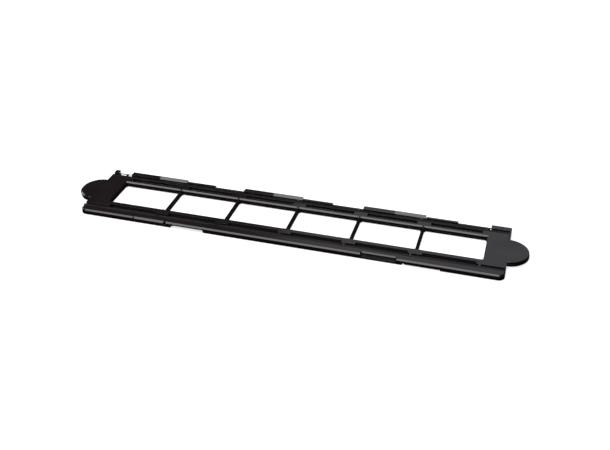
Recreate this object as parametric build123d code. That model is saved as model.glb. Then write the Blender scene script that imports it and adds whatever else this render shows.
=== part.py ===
from build123d import *
import os

# Hinged holder for one strip of 35 mm film: a base frame with a guide rail along its
# front edge, a lid frame that folds over it, and the rod that joins them at the back.
# X runs along the strip, Y from the rail to the hinge, Z up. The origin is the middle
# of the underside. The lid is drawn closed.

# film and windows
frame_pitch = 38.0          # advance from one frame to the next
frame_count = 6
window_length = 36.24
window_height = 24.0
window_corner = 1.2
film_width = 35.0
film_clearance = 0.1        # each side of the strip in its channel
channel_depth = 0.2
gate_height = 0.05          # raised land that carries the picture area
gate_overhang = 1.4         # how far that land reaches past the windows
channel_end = 1.0           # channel beyond the first and last frame
strip_tuck = 0.5            # pressure ribs stop this much short of the channel's ends

# outline
body_width = 49.8
end_land = 12.0             # solid plate beyond the first and last frame
front_corner = 3.6
back_corner = 1.0
half_thickness = 1.65       # the base plate; the lid's top is twice as high
part_gap = 0.1              # between the closed halves

# round finger tabs: at each end one half stands proud of the other, to open them by
tab_radius = 11.7
tab_step = 0.3              # the other half is this much smaller
tab_inset = 0.2             # tab centre inside the plate's end
tab_shift = 0.8             # tab centre behind the windows' middle
tab_chamfer = 0.8
tab_edge = 0.2
dish_radius = 8.6           # thumb hollow
dish_depth = 0.35
dish_inset = 0.9            # its middle inside the plate's end
dish_shift = 2.2            # and behind the windows' middle

# front rail
rail_ledge = 1.0            # from the channel's side to the rail
rail_chamfer = 0.75
rail_lower_chamfer = 0.15
lip_rise = 0.2
lip_width = 1.6
notch_length = 20.0
notch_depth = 1.9
notch_floor = 1.25          # thickness of rail left at a notch
notch_chamfer = 0.6
notch_slant = 0.8
slit_width = 1.0
wide_slit_width = 1.9
slit_depth = 1.6            # V-shaped slits with upright walls, this deep at their middle
wide_slit_depth = 2.1
slit_start = 71.0
slit_spacing = 20.0
slit_chamfer = 0.95         # wider chamfer between the two slits

# lid
lid_end_gap = 1.9           # between the lid's end plates and the rail
end_plate_tuck = 1.0        # the end plates reach this far in beside the outer windows
finger_gap = 1.8            # between the lid's fingers and the rail
finger_half = 4.0
front_rim = 2.6             # lid in front of each window
rear_rim = 2.3              # and behind it
rear_bevel_run = 1.3
rear_bevel_rise = 0.38
rear_bevel_web = 1.0        # groove between two neighbouring bevels
bar_step = 0.3              # ridges of the bars between windows lie this much lower
bar_step_margin = 0.1
bar_slope_drop = 1.1        # from a bar's ridge down to its two sides
rib_width = 1.7             # rib along the lid's back edge
groove_width = 2.0          # between that rib and the hinge rail
latch_width = 1.2
latch_offset = -2.2         # from the line between two frames
latch_reach = 1.3           # onto the rail
latch_rise = 0.15
latch_thickness = 0.6
latch_root = 1.0            # how far a latch runs back into the lid
rear_latch_root = 0.5
latch_clearance = 0.25
pressure_rib = 0.08
pressure_rib_inside = 0.5   # overlaps the window's edge before the window is cut
corner_wall = 1.1           # small wall of the base beside the lid's back corner
corner_wall_start = 12.8
corner_wall_gap = 0.3
base_pocket_depth = 0.4     # shallow moulding pockets under the base
base_pocket_reach = 0.4     # past the channel's side

# hinge
rod_radius = 0.6
rod_clearance = 0.05
back_wall = 0.55            # base knuckle behind the rod
front_wall = 1.75           # base knuckle in front of the rod
rod_cover = 0.7             # from the bore up to the base knuckle's top
slope_wall = 0.65           # in front of the bore where the roof slopes
slope_drop = 0.75           # from the ridge to the foot of that slope
slope_ridge = 0.35
slot_lip = 0.1              # the knuckles' open sides are this much narrower than the rod, each way
barrel_rise = 0.15          # base knuckles above the lid's top
lid_knuckle_wall = 0.35
lid_roof_front = 1.5        # roofed lid knuckle: its front edge before the rod's middle
lid_roof_back = 0.2         # its roof turns down this much behind the rod's middle
lid_roof_fall = 0.1         # and falls this much from front to back
lid_tail_above = 0.35       # its rear face, above the rod's middle
lid_tail_below = 0.3        # and below it
cradle_rise = 0.05          # open lid knuckle above the rod's middle
knuckle_gap = 0.3
swing_gap = 0.8             # from the lid's knuckles to the base plate
arm_floor = 0.9             # base plate left under the lid's arms
arm_gap = 0.15
arm_root = 1.0              # how far the arms reach under the lid
arm_root_gap = 0.3
lug_length = 2.7
rod_seat = 7.3              # depth of the rod's hole in the right end block
rod_setback = 0.4           # rod's left end inside the lug
rod_tip_chamfer = 0.2

# modelling allowances
cut_extra = 1.0             # how far a cutting shape runs past a surface
join = 0.1                  # how far joined shapes overlap
plate_overlap = 0.5         # the same where the hinge meets the base plate

# worked out from the sizes above
row_half = frame_count * frame_pitch / 2
body_half = row_half + end_land
front = -body_width / 2
back = body_width / 2
top = 2 * half_thickness
lid_bottom = half_thickness + part_gap
lip_top = top + lip_rise
barrel_top = top + barrel_rise
bore_radius = rod_radius + rod_clearance
slot_half = rod_radius - slot_lip
hinge_y = back - back_wall - bore_radius
hinge_z = barrel_top - rod_cover - bore_radius
barrel_front = hinge_y - bore_radius - front_wall
lid_back = barrel_front - groove_width
lid_knuckle_radius = bore_radius + lid_knuckle_wall
plate_back = hinge_y - lid_knuckle_radius - swing_gap
channel_half = film_width / 2 + film_clearance
rail_inner = -(channel_half + rail_ledge)
window_half = window_height / 2
tab_centre = body_half - tab_inset
knuckle_length = frame_pitch / 2

window_centres = [(i - (frame_count - 1) / 2) * frame_pitch for i in range(frame_count)]
frame_lines = [-row_half + i * frame_pitch for i in range(frame_count + 1)]
bar_lines = frame_lines[1:-1]
hinge_groups = [-row_half + i * 2 * frame_pitch for i in range(frame_count // 2)]
latch_places = [x + latch_offset for x in frame_lines]


def block(x0, x1, y0, y1, z0, z1):
    """Box between two corners."""
    middle = ((x0 + x1) / 2, (y0 + y1) / 2, (z0 + z1) / 2)
    return Pos(*middle) * Box(x1 - x0, y1 - y0, z1 - z0)


def prism(points, x0, x1):
    """Outline of (y, z) points carried along X."""
    face = make_face(Polyline(*points, close=True))
    return extrude(Plane.YZ.offset(x0) * face, amount=x1 - x0)


def rod_shape(radius, x0, x1):
    """Round bar on the hinge line."""
    return Pos((x0 + x1) / 2, hinge_y, hinge_z) * Rot(0, 90, 0) * Cylinder(radius, x1 - x0)


def windows():
    """The picture openings, tall enough to cut both halves."""
    opening = RectangleRounded(window_length, window_height, window_corner)
    return [Pos(x, 0, -cut_extra) * extrude(opening, amount=top + 3 * cut_extra) for x in window_centres]


def tab(radius, z0, z1, side):
    """Round finger tab at one end."""
    return Pos(side * tab_centre, tab_shift, (z0 + z1) / 2) * Cylinder(radius, z1 - z0)


def dish(z, side, upwards):
    """Ball whose cap is the thumb hollow in a tab's face."""
    ball_radius = (dish_radius ** 2 + dish_depth ** 2) / (2 * dish_depth)
    centre_z = z + upwards * (ball_radius - dish_depth)
    return Pos(side * (body_half - dish_inset), dish_shift, centre_z) * Sphere(ball_radius)


def flip(points):
    """The same (y, z) outline turned over, for the underside."""
    return [(y, top - z) for y, z in points]


def base_blank():
    """Plate with the rail: rounded front corners and a chamfer that follows them."""
    outline = make_face(Polyline((-body_half, front), (body_half, front), (body_half, back),
                                 (-body_half, back), close=True))
    corners = outline.vertices().sort_by(Axis.Y)
    outline = fillet(corners[:2], front_corner)
    blank = extrude(outline, amount=top)
    upper = blank.edges().filter_by_position(Axis.Z, top, top)
    blank = chamfer([e for e in upper if e.center().Y < rail_inner], rail_chamfer)
    lower = blank.edges().filter_by_position(Axis.Z, 0, 0)
    blank = chamfer([e for e in lower if e.center().Y < rail_inner], rail_lower_chamfer)
    blank -= block(-body_half - cut_extra, body_half + cut_extra,
                   rail_inner, back + cut_extra, half_thickness, top + cut_extra)
    lip = prism([(rail_inner, top - join), (rail_inner, lip_top), (rail_inner - lip_width, top),
                 (rail_inner - lip_width, top - join)], -body_half, body_half)
    rim = extrude(outline, amount=lip_top)
    return blank + (lip & rim)


def notch():
    """Position notch in the rail, open above and in front, with a bevel along its rear edge."""
    deep = front + notch_depth
    mouth = notch_length / 2 + notch_slant / 2
    inner = notch_length / 2 - notch_slant / 2
    slant = notch_slant / (top - notch_floor)
    past = top + join
    trapezium = make_face(Polyline((-mouth - slant * join, past), (-inner, notch_floor),
                                   (inner, notch_floor), (mouth + slant * join, past), close=True))
    pocket = extrude(Plane.XZ.offset(-deep) * trapezium, amount=notch_depth + cut_extra)
    bevel = [(deep - join, top - notch_chamfer - join), (deep + notch_chamfer + join, top + join),
             (deep - join, top + join)]
    return pocket + prism(bevel, -inner, inner)


def corner_cut(depth):
    """Outline that takes a 45-degree corner of this depth off the rail's upper front edge."""
    return [(front - cut_extra, top - depth - cut_extra), (front + depth + cut_extra, top + cut_extra),
            (front - cut_extra, top + cut_extra)]


def slit(width, depth):
    """V-shaped slit in the rail's front edge, leaving as much below it as a notch does."""
    past = width / 2 * (1 + cut_extra / depth)
    outline = make_face(Polyline((-past, front - cut_extra), (past, front - cut_extra),
                                 (0, front + depth), close=True))
    return Pos(0, 0, notch_floor) * extrude(outline, amount=top - notch_floor + cut_extra)


def rail_cuts():
    """Position notches and slits, the same when the holder is turned over end for end."""
    centre = 1.5 * frame_pitch
    turned_over = Rot(0, 180, 0)
    cuts = [Pos(centre, 0, 0) * notch(), Pos(-centre, 0, top) * turned_over * notch()]
    far_slit = slit_start + slit_spacing
    for place, width, depth in ((slit_start, wide_slit_width, wide_slit_depth),
                                (far_slit, slit_width, slit_depth)):
        cuts.append(Pos(-place, 0, 0) * slit(width, depth))
        cuts.append(Pos(place, 0, top) * turned_over * slit(width, depth))
    shape = corner_cut(slit_chamfer)
    cuts.append(prism(shape, -far_slit, -slit_start))
    cuts.append(prism(flip(shape), slit_start, far_slit))
    return cuts


def hinge_block(x0, x1, z1):
    """Solid bar on the hinge line, joined to the plate's back edge."""
    return (block(x0, x1, barrel_front, back, 0, z1)
            + block(x0, x1, plate_back - plate_overlap, hinge_y, 0, half_thickness))


def base_knuckles(x0):
    """One knuckle group: a half with a flat roof and open underside, then a half with a sloping roof."""
    start = x0 + knuckle_gap / 2
    middle = x0 + knuckle_length
    end = x0 + 2 * knuckle_length - knuckle_gap / 2
    body = hinge_block(start, end, barrel_top)
    body -= block(start - cut_extra, middle, hinge_y - slot_half, hinge_y + slot_half, -cut_extra,
                  hinge_z)
    high = barrel_top + cut_extra
    foot = hinge_y - bore_radius - slope_wall
    ridge = back - slope_ridge
    above_slope = [(barrel_front - cut_extra, high), (barrel_front - cut_extra, half_thickness),
                   (foot, half_thickness), (foot, barrel_top - slope_drop), (ridge, barrel_top),
                                                                             (ridge, high)]
    body -= prism(above_slope, middle, end + cut_extra)
    return body - rod_shape(bore_radius, start - cut_extra, end + cut_extra)


def base_tab(side):
    """The base's half of a tab: the larger one on the right, with its chamfer underneath."""
    if side > 0:
        disc = tab(tab_radius, 0, half_thickness, side)
        return chamfer(disc.edges().group_by(Axis.Z)[0], tab_chamfer)
    disc = tab(tab_radius - tab_step, 0, half_thickness, side)
    return chamfer(disc.edges().group_by(Axis.Z)[0], tab_edge)


def lid_tab(side):
    """The lid's half of a tab: the larger one on the left, with its chamfer on top."""
    if side < 0:
        disc = tab(tab_radius, lid_bottom, top, side)
        return chamfer(disc.edges().group_by(Axis.Z)[-1], tab_chamfer)
    disc = tab(tab_radius - tab_step, lid_bottom, top, side)
    return chamfer(disc.edges().group_by(Axis.Z)[-1], tab_edge)


def base_hinge(base):
    """The base with its knuckles, end block and lug, and room for the lid's arms."""
    for x0 in hinge_groups:
        base += base_knuckles(x0)
        base -= block(x0 + 2 * knuckle_length - knuckle_gap, x0 + 4 * knuckle_length + knuckle_gap,
                      lid_back - arm_root - arm_root_gap, plate_back + cut_extra, arm_floor, top)
    block_start = row_half + knuckle_gap
    end_block = hinge_block(block_start, body_half, top)
    rear_edges = end_block.edges().filter_by(Axis.Z).group_by(Axis.Y)[-1]
    end_block = fillet(rear_edges.sort_by(Axis.X)[-1:], back_corner)
    base += end_block
    base += hinge_block(-body_half, -body_half + lug_length, barrel_top)
    base -= rod_shape(bore_radius, block_start - cut_extra, block_start + rod_seat)
    base -= rod_shape(bore_radius, -body_half - cut_extra, -body_half + lug_length + cut_extra)
    return base + block(body_half - corner_wall, body_half, corner_wall_start, barrel_front, 0, top)


def channel(base):
    """The base with its film channel and the raised land inside it."""
    end = row_half + channel_end
    floor = half_thickness - channel_depth
    base -= block(-end, end, -channel_half, channel_half, floor, top)
    land = window_half + gate_overhang
    return base + block(-end, end, -land, land, floor - join, floor + gate_height)


def make_base():
    base = base_blank()
    # behind the plate only the knuckles, the end block and the lug are left
    base -= block(-body_half - cut_extra, body_half + cut_extra, plate_back, back + cut_extra,
                  -cut_extra, top + cut_extra)
    base = base_hinge(base)
    for side in (-1, 1):
        base += base_tab(side)
        base -= dish(0, side, -1)
    base = channel(base)
    for opening in windows():
        base -= opening
    for x in window_centres:
        half = frame_pitch / 2 - rear_bevel_web / 2
        slope = rear_bevel_rise / rear_bevel_run
        base -= prism([(window_half - join, -join), (window_half - join, rear_bevel_rise + slope * join),
                       (window_half + rear_bevel_run + join / slope, -join)], x - half, x + half)
        pocket = frame_pitch / 2 - finger_half
        for side, rim in ((-1, front_rim), (1, rear_rim)):
            y0, y1 = sorted((side * (window_half + rim), side * (channel_half + base_pocket_reach)))
            base -= block(x - pocket, x + pocket, y0, y1, -cut_extra, base_pocket_depth)
    for cut in rail_cuts():
        base -= cut
    for x in latch_places:
        half = latch_width / 2 + latch_clearance
        base -= block(x - half, x + half, rail_inner - latch_reach - latch_clearance,
                      rail_inner + cut_extra,
                      top + latch_rise - latch_thickness - part_gap, lip_top + cut_extra)
    return base


def lid_knuckles(x0):
    """One knuckle group: a roofed half and a half that is open above, each with its arm."""
    start = x0 + 2 * knuckle_length + knuckle_gap / 2
    middle = x0 + 3 * knuckle_length
    end = x0 + 4 * knuckle_length - knuckle_gap / 2
    arm_bottom = arm_floor + arm_gap
    arm = block(start, end, lid_back - arm_root, hinge_y - bore_radius - join / 2, arm_bottom,
                lid_bottom)
    root = block(start, end, lid_back - arm_root, lid_back, arm_bottom, lid_bottom + join)
    # roofed half: open below and low behind
    rear = hinge_y + lid_knuckle_radius
    roof = hinge_z + lid_knuckle_radius
    tail = hinge_z - lid_tail_below
    outline = [(hinge_y - lid_roof_front, arm_bottom), (hinge_y - lid_roof_front, roof),
               (hinge_y + lid_roof_back, roof - lid_roof_fall), (rear, hinge_z + lid_tail_above),
               (rear, tail), (hinge_y, tail), (hinge_y, arm_bottom)]
    roofed = prism(outline, start, middle)
    roofed -= block(start - cut_extra, middle + cut_extra, hinge_y - slot_half, hinge_y + slot_half,
                    -cut_extra, hinge_z)
    cradle = rod_shape(lid_knuckle_radius, middle, end)
    cradle -= block(middle - cut_extra, end + cut_extra, plate_back, back + cut_extra,
                    hinge_z + cradle_rise, barrel_top + cut_extra)
    return arm + root + roofed + cradle - rod_shape(bore_radius, start - cut_extra, end + cut_extra)


def lid_openings(lid):
    """The lid with its windows, the bevels behind them, and the lowered bars between them."""
    for opening in windows():
        lid -= opening
    slope = rear_bevel_rise / rear_bevel_run
    for x in window_centres:
        half = frame_pitch / 2 - rear_bevel_web / 2
        lid -= prism([(window_half - join, top - rear_bevel_rise - slope * join),
                      (window_half + rear_bevel_run + join / slope, top + join),
                      (window_half - join, top + join)], x - half, x + half)
    for x in bar_lines:
        half = (frame_pitch - window_length) / 2 + bar_step_margin
        ridge = top - bar_step
        foot = ridge - bar_slope_drop
        above = make_face(Polyline((x - half, foot), (x, ridge), (x + half, foot), (x + half, top + cut_extra),
                                   (x - half, top + cut_extra), close=True))
        lid -= extrude(Plane.XZ.offset(-window_half) * above, amount=window_height)
        web = rear_bevel_web / 2
        lid -= block(x - web, x + web, window_half - join, window_half + rear_bevel_run,
                     top - rear_bevel_rise, top + cut_extra)
    return lid


def make_lid():
    reach = rail_inner - cut_extra
    lid = block(-body_half, body_half, rail_inner + lid_end_gap, lid_back, lid_bottom, top)
    # the front edge steps back between the fingers
    lid -= block(-row_half + end_plate_tuck, row_half - end_plate_tuck, reach, rail_inner + finger_gap,
                 0, lip_top)
    for x in window_centres:
        half = frame_pitch / 2 - finger_half
        lid -= block(x - half, x + half, reach, -(window_half + front_rim), 0, lip_top)
        lid -= block(x - half, x + half, window_half + rear_rim, lid_back - rib_width, 0, lip_top)
    lid += prism([(lid_back - rib_width, top - join), (lid_back - rib_width, top), (lid_back, lip_top),
                  (lid_back, top - join)], -body_half, body_half)
    for side in (-1, 1):
        lid += lid_tab(side)
        lid -= dish(top, side, 1)
    # ribs that press on the film's edges
    end = row_half - strip_tuck
    for side in (-1, 1):
        y0, y1 = sorted((side * (window_half - pressure_rib_inside),
                                 side * (window_half + gate_overhang)))
        lid += block(-end, end, y0, y1, lid_bottom - pressure_rib, lid_bottom + join)
    lid = lid_openings(lid)
    latch_bottom = top + latch_rise - latch_thickness
    for x in latch_places:
        half = latch_width / 2
        lid += block(x - half, x + half, rail_inner - latch_reach, rail_inner + finger_gap + latch_root,
                     latch_bottom, top + latch_rise)
        lid += block(x - half, x + half, lid_back - rear_latch_root, barrel_front - latch_clearance,
                     latch_bottom, top + latch_rise)
    lid -= block(body_half - corner_wall - corner_wall_gap, body_half + cut_extra,
                 corner_wall_start - corner_wall_gap, lid_back + cut_extra, 0, lip_top + cut_extra)
    for x0 in hinge_groups:
        lid += lid_knuckles(x0)
    return lid


def make_rod():
    rod = rod_shape(rod_radius, -body_half + rod_setback, row_half + knuckle_gap + rod_seat)
    return chamfer(rod.edges(), rod_tip_chamfer)


nodes = {"base_frame": make_base(), "lid_frame": make_lid(), "hinge_rod": make_rod()}

os.makedirs("parts", exist_ok=True)
for name, shape in nodes.items():
    export_step(shape, f"parts/{name}.step")
    box = shape.bounding_box()
    print(name, "solids", len(shape.solids()), "volume", round(shape.volume, 1), "box", box)
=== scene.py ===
import math
import bpy
import numpy as np
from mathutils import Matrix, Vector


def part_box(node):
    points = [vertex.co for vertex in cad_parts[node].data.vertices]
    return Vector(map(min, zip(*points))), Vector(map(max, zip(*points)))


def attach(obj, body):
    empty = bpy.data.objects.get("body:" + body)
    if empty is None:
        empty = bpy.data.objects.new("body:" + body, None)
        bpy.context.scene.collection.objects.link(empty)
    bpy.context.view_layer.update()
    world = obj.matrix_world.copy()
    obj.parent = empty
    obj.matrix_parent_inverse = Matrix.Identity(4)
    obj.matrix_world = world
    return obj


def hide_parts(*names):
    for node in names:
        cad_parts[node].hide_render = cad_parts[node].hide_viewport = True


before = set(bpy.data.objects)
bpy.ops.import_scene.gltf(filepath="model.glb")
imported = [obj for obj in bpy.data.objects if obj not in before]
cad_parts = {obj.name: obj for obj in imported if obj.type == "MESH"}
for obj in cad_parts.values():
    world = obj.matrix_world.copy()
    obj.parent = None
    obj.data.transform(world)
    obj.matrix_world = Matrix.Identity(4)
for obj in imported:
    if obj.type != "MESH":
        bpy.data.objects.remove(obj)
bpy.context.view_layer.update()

mm = 0.001
white = (1.0, 1.0, 1.0)
print("frame loaded:", sorted(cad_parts))


def addObject(name, data):
    obj = bpy.data.objects.new(name, data)
    bpy.context.scene.collection.objects.link(obj)
    return obj


def paint(obj, mat):
    obj.data.materials.clear()
    obj.data.materials.append(mat)


def newMaterial(name):
    mat = bpy.data.materials.new(name)
    mat.use_nodes = True
    tree = mat.node_tree
    tree.nodes.clear()
    out = tree.nodes.new("ShaderNodeOutputMaterial")
    shader = tree.nodes.new("ShaderNodeBsdfPrincipled")
    tree.links.new(shader.outputs["BSDF"], out.inputs["Surface"])
    return mat, shader


def addNoise(tree, place, scale, detail, breakup):
    noise = tree.nodes.new("ShaderNodeTexNoise")
    noise.inputs["Scale"].default_value = scale
    noise.inputs["Detail"].default_value = detail
    noise.inputs["Roughness"].default_value = breakup
    tree.links.new(place, noise.inputs["Vector"])
    return noise.outputs["Fac"]


def addRamp(tree, value, span, dark, light):
    # dark below the span, light above it, a straight blend between
    ramp = tree.nodes.new("ShaderNodeValToRGB")
    low, high = ramp.color_ramp.elements
    low.position, high.position = span
    low.color = (*dark, 1)
    high.color = (*light, 1)
    tree.links.new(value, ramp.inputs["Fac"])
    return ramp.outputs["Color"]


def addRange(tree, value, span, lowest, highest):
    # lowest at the span's first number, highest at its second, held at both ends
    remap = tree.nodes.new("ShaderNodeMapRange")
    remap.inputs["From Min"].default_value = span[0]
    remap.inputs["From Max"].default_value = span[1]
    remap.inputs["To Min"].default_value = lowest
    remap.inputs["To Max"].default_value = highest
    tree.links.new(value, remap.inputs["Value"])
    return remap.outputs["Result"]


def addBump(tree, height, strength, depth):
    bump = tree.nodes.new("ShaderNodeBump")
    bump.inputs["Strength"].default_value = strength
    bump.inputs["Distance"].default_value = depth
    tree.links.new(height, bump.inputs["Height"])
    return bump


basePlasticLook = {
    "dark": (0.0044, 0.0034, 0.0040), "light": (0.0070, 0.0057, 0.0065), "cloudSpan": (0.32, 0.72),
    "cloudScale": 60.0, "cloudDetail": 4.0, "cloudBreakup": 0.55,
    "grainScale": 5200.0, "grainDetail": 3.0, "grainBreakup": 0.6,
    "grainStrength": 0.30, "grainDepth": 0.01 * mm, "grainSpan": (0.3, 0.7),
    "roughness": 0.20, "roughSpread": 0.03, "ior": 1.50,
    "edge": (0.018, 0.017, 0.018), "edgeRadius": 0.12 * mm, "edgeSamples": 6,
    "edgeSpan": (0.995, 0.80),      # agreement of the two normals where wear starts, and where it is full
}
lidPlasticLook = dict(
    basePlasticLook,
    dark=(0.0047, 0.0035, 0.0041), light=(0.0072, 0.0057, 0.0066), roughness=0.19,
)


def mouldedPlastic(name, look):
    # black injection-moulded plastic: spark-eroded grain, faint flow clouds, edges worn lighter
    mat, shader = newMaterial(name)
    tree = mat.node_tree
    link = tree.links.new
    place = tree.nodes.new("ShaderNodeTexCoord").outputs["Object"]
    grain = addNoise(tree, place, look["grainScale"], look["grainDetail"], look["grainBreakup"])
    cloud = addNoise(tree, place, look["cloudScale"], look["cloudDetail"], look["cloudBreakup"])
    colour = addRamp(tree, cloud, look["cloudSpan"], look["dark"], look["light"])

    # an edge is where the rounded-off normal leans away from the face's own
    rounded = tree.nodes.new("ShaderNodeBevel")
    rounded.samples = look["edgeSamples"]
    rounded.inputs["Radius"].default_value = look["edgeRadius"]
    face = tree.nodes.new("ShaderNodeNewGeometry")
    agree = tree.nodes.new("ShaderNodeVectorMath")
    agree.operation = "DOT_PRODUCT"
    link(rounded.outputs["Normal"], agree.inputs[0])
    link(face.outputs["Normal"], agree.inputs[1])
    edge = addRange(tree, agree.outputs["Value"], look["edgeSpan"], 0.0, 1.0)

    # the grain breaks the worn edge up
    wear = tree.nodes.new("ShaderNodeMath")
    wear.operation = "MULTIPLY"
    link(edge, wear.inputs[0])
    link(grain, wear.inputs[1])
    worn = tree.nodes.new("ShaderNodeMixRGB")
    worn.inputs["Color2"].default_value = (*look["edge"], 1)
    link(wear.outputs["Value"], worn.inputs["Fac"])
    link(colour, worn.inputs["Color1"])
    link(worn.outputs["Color"], shader.inputs["Base Color"])

    smoothest = look["roughness"] - look["roughSpread"]
    roughest = look["roughness"] + look["roughSpread"]
    link(addRange(tree, grain, look["grainSpan"], smoothest, roughest), shader.inputs["Roughness"])
    bump = addBump(tree, grain, look["grainStrength"], look["grainDepth"])
    link(rounded.outputs["Normal"], bump.inputs["Normal"])
    link(bump.outputs["Normal"], shader.inputs["Normal"])
    shader.inputs["IOR"].default_value = look["ior"]
    return mat


steelLook = {
    "dark": (0.42, 0.42, 0.43), "light": (0.60, 0.60, 0.61), "toneSpan": (0.3, 0.7),
    "stretch": (150.0, 6000.0, 6000.0),     # streaks per metre: few along the rod, many across it
    "streakScale": 1.0, "streakDetail": 3.0, "streakBreakup": 0.6, "streakSpan": (0.0, 1.0),
    "streakStrength": 0.3, "streakDepth": 0.02 * mm,
    "roughness": 0.24, "roughSpread": 0.06, "metal": 1.0,
}


def drawnSteel(name, look):
    # bright drawn wire: fine streaks along its length
    mat, shader = newMaterial(name)
    tree = mat.node_tree
    link = tree.links.new
    place = tree.nodes.new("ShaderNodeTexCoord").outputs["Object"]
    stretch = tree.nodes.new("ShaderNodeMapping")
    stretch.inputs["Scale"].default_value = look["stretch"]
    link(place, stretch.inputs["Vector"])
    drawn = stretch.outputs["Vector"]
    streak = addNoise(tree, drawn, look["streakScale"], look["streakDetail"], look["streakBreakup"])
    colour = addRamp(tree, streak, look["toneSpan"], look["dark"], look["light"])
    link(colour, shader.inputs["Base Color"])

    smoothest = look["roughness"] - look["roughSpread"]
    roughest = look["roughness"] + look["roughSpread"]
    link(addRange(tree, streak, look["streakSpan"], smoothest, roughest), shader.inputs["Roughness"])
    bump = addBump(tree, streak, look["streakStrength"], look["streakDepth"])
    link(bump.outputs["Normal"], shader.inputs["Normal"])
    shader.inputs["Metallic"].default_value = look["metal"]
    return mat


rodSteel = drawnSteel("rod_steel", steelLook)
paint(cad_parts["base_frame"], mouldedPlastic("base_plastic", basePlasticLook))
paint(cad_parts["lid_frame"], mouldedPlastic("lid_plastic", lidPlasticLook))
paint(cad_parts["hinge_rod"], rodSteel)
print("finishes on the frame")


rodLow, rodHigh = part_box("hinge_rod")
rodLook = {
    "start": rodLow.x, "end": rodHigh.x,
    "y": (rodLow.y + rodHigh.y) / 2, "z": (rodLow.z + rodHigh.z) / 2,
    "radius": (rodHigh.z - rodLow.z) / 2,
    "tip": 0.2 * mm,        # rounding of the rim at each end
    "faceRings": 2, "tipRings": 9, "bodyRings": 46, "around": 64,
}


def makeRod(look):
    # a turned bar: its radius, a function of the distance along it, carried round the hinge line;
    # each end is a flat face closed on a pole, and its rim follows a quarter circle
    start, end, radius, tip = look["start"], look["end"], look["radius"], look["tip"]
    turn = np.linspace(0.0, math.pi / 2, look["tipRings"])
    tipX = tip * (1.0 - np.cos(turn))
    tipR = radius - tip + tip * np.sin(turn)
    faceR = np.linspace(0.0, radius - tip, look["faceRings"] + 2)[1:-1]
    bodyX = np.linspace(start + tip, end - tip, look["bodyRings"] + 2)[1:-1]
    flat = np.ones(len(faceR))
    x = np.concatenate([start * flat, start + tipX, bodyX, end - tipX[::-1], end * flat])
    r = np.concatenate([faceR, tipR, np.full(len(bodyX), radius), tipR[::-1], faceR[::-1]])

    angle = np.arange(look["around"]) * 2 * math.pi / look["around"]
    y = look["y"] + np.outer(r, np.cos(angle)).ravel()
    z = look["z"] + np.outer(r, np.sin(angle)).ravel()
    rings = np.stack([np.repeat(x, len(angle)), y, z], axis=1)
    poles = np.array([[start, look["y"], look["z"]], [end, look["y"], look["z"]]])

    # here numbers every point by ring and angle, and beside is its neighbour round the ring
    here = np.arange(len(rings)).reshape(len(x), len(angle))
    beside = np.roll(here, -1, axis=1)
    sides = np.stack([here[:-1], beside[:-1], beside[1:], here[1:]], axis=-1).reshape(-1, 4)
    startPole = np.full(len(angle), len(rings))
    endPole = startPole + 1
    startFace = np.stack([startPole, beside[0], here[0]], axis=1)
    endFace = np.stack([endPole, here[-1], beside[-1]], axis=1)

    mesh = bpy.data.meshes.new("rod_bar")
    faces = sides.tolist() + startFace.tolist() + endFace.tolist()
    mesh.from_pydata(np.vstack([rings, poles]).tolist(), [], faces)
    mesh.polygons.foreach_set("use_smooth", np.ones(len(mesh.polygons), dtype=bool))
    mesh.update()
    rod = addObject("rod_bar", mesh)
    paint(rod, rodSteel)
    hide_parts("hinge_rod")
    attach(rod, "base")


makeRod(rodLook)
print("rod turned")


cameraLook = {
    "place": (0.12543, -0.40959, 0.27294), "azimuth": 16.004, "elevation": 32.652,
    "lens": 50.55, "sensor": 36.0, "nearest": 0.01,
}


def makeCamera(look):
    cam = bpy.data.cameras.new("camera")
    cam.sensor_width = look["sensor"]
    cam.lens = look["lens"]
    cam.clip_start = look["nearest"]
    eye = addObject("camera", cam)
    eye.location = look["place"]
    eye.rotation_euler = (math.radians(90.0 - look["elevation"]), 0.0, math.radians(look["azimuth"]))
    bpy.context.scene.camera = eye


makeCamera(cameraLook)
print("camera placed")


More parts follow.
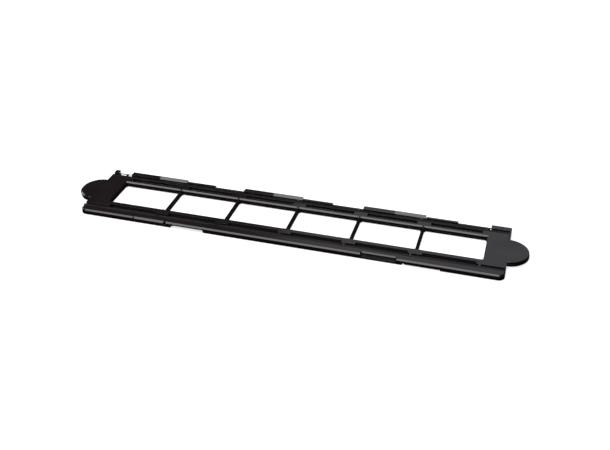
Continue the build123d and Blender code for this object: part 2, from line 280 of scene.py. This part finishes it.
floorLook = {
    "half": 6.0, "level": -0.2 * mm,
    "colour": (0.35, 0.35, 0.35), "roughness": 0.9, "glowColour": white, "glow": 0.68,
}
worldLook = {"colour": (0.23, 0.15, 0.19), "strength": 0.12}
lightLook = {
    "overhead": {
        "place": (-0.20, -0.32, 0.78), "aim": (-0.20, -0.32, 0.0),
        "size": (1.6, 1.1), "power": 22.5, "colour": white,
    },
    "rear_right": {
        "place": (0.35, 1.15, 0.80), "aim": (0.0, 0.0, 0.0),
        "size": (1.6, 0.5), "power": 1.6, "colour": (0.92, 0.93, 1.0),
    },
    # low on the left, for the edges that lean that way
    "side_left": {
        "place": (-1.20, 0.15, 0.32), "aim": (0.0, 0.0, 0.0),
        "size": (0.5, 0.5), "power": 2.6, "colour": white,
    },
}


def makeFloor(look):
    half, level = look["half"], look["level"]
    corners = [(-half, -half, level), (half, -half, level), (half, half, level), (-half, half, level)]
    mesh = bpy.data.meshes.new("floor")
    mesh.from_pydata(corners, [], [(0, 1, 2, 3)])
    floor = addObject("floor", mesh)
    mat, shader = newMaterial("floor_paper")
    shader.inputs["Base Color"].default_value = (*look["colour"], 1)
    shader.inputs["Roughness"].default_value = look["roughness"]
    shader.inputs["Emission Color"].default_value = (*look["glowColour"], 1)
    shader.inputs["Emission Strength"].default_value = look["glow"]
    paint(floor, mat)
    # the floor is left out of reflections and bounced light, so the plastic shows the dim world there
    floor.visible_glossy = False
    floor.visible_diffuse = False


def makeWorld(look):
    world = bpy.data.worlds.new("studio")
    world.use_nodes = True
    back = world.node_tree.nodes["Background"]
    back.inputs["Color"].default_value = (*look["colour"], 1)
    back.inputs["Strength"].default_value = look["strength"]
    bpy.context.scene.world = world


def softBox(name, look):
    light = bpy.data.lights.new(name, "AREA")
    light.shape = "RECTANGLE"
    light.size, light.size_y = look["size"]
    light.energy = look["power"]
    light.color = look["colour"]
    box = addObject(name, light)
    box.location = look["place"]
    # tipped up from straight down, then turned, to look along the way from its place to its aim
    way = np.subtract(look["aim"], look["place"])
    tip = math.atan2(math.hypot(way[0], way[1]), -way[2])
    turn = math.atan2(way[1], way[0]) - math.pi / 2
    box.rotation_euler = (tip, 0.0, turn)


makeFloor(floorLook)
makeWorld(worldLook)
for name, look in lightLook.items():
    softBox(name, look)
bpy.context.scene.view_settings.view_transform = "Standard"
print("studio ready")
